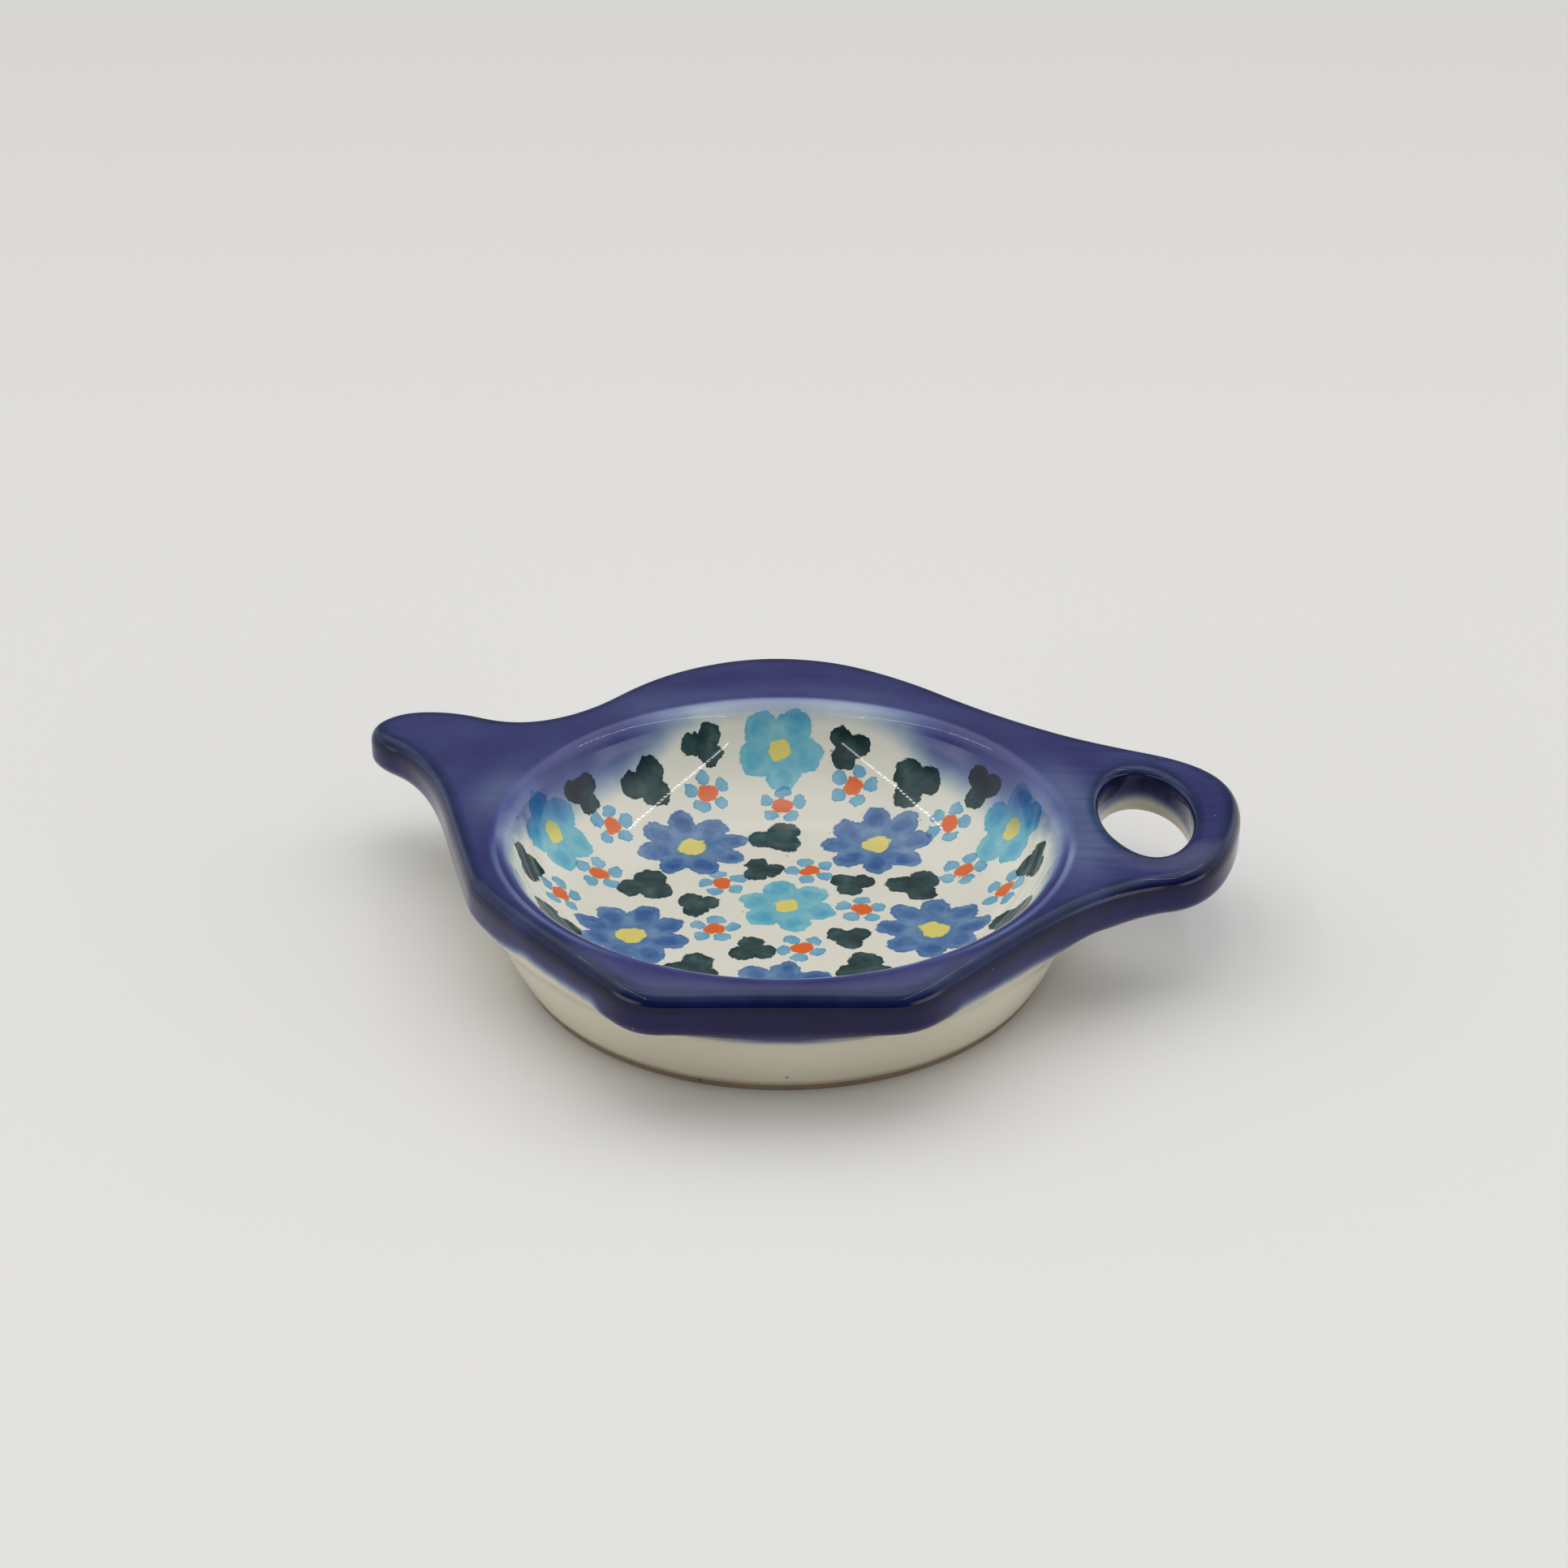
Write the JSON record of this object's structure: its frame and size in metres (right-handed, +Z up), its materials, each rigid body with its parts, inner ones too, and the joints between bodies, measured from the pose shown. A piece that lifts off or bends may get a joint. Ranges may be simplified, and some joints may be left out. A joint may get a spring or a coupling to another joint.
{
  "type": "tea bag rest",
  "caption": "Shallow round well on a foot ring, in a teapot-shaped rim with a spout, a domed crest and a handle with an oval hole, for holding a used tea bag.",
  "frame": {"origin": "on the axis of the round well, in the plane of the foot ring's standing face", "axes": "+Z up out of the well, +X towards the handle, +Y towards the crest at the back"},
  "size_m": [0.1227, 0.0966, 0.0186],
  "materials": {
    "bare_clay": "unglazed stoneware, wiped and rubbed smooth",
    "glazed_body": "clear gloss glaze over cream stoneware",
    "painted_glaze": "hand-painted flowers on ivory under a clear gloss glaze",
    "cobalt_glaze": "watery cobalt blue wash under a clear gloss glaze"
  },
  "bodies": {
    "root": {"foot_ring": "bare_clay", "bowl_floor": "glazed_body", "bowl_wall": "glazed_body", "well_glaze": "painted_glaze", "rim": "cobalt_glaze", "lid_crest": "cobalt_glaze", "spout": "cobalt_glaze", "handle": "cobalt_glaze"}
  },
  "joints": []
}
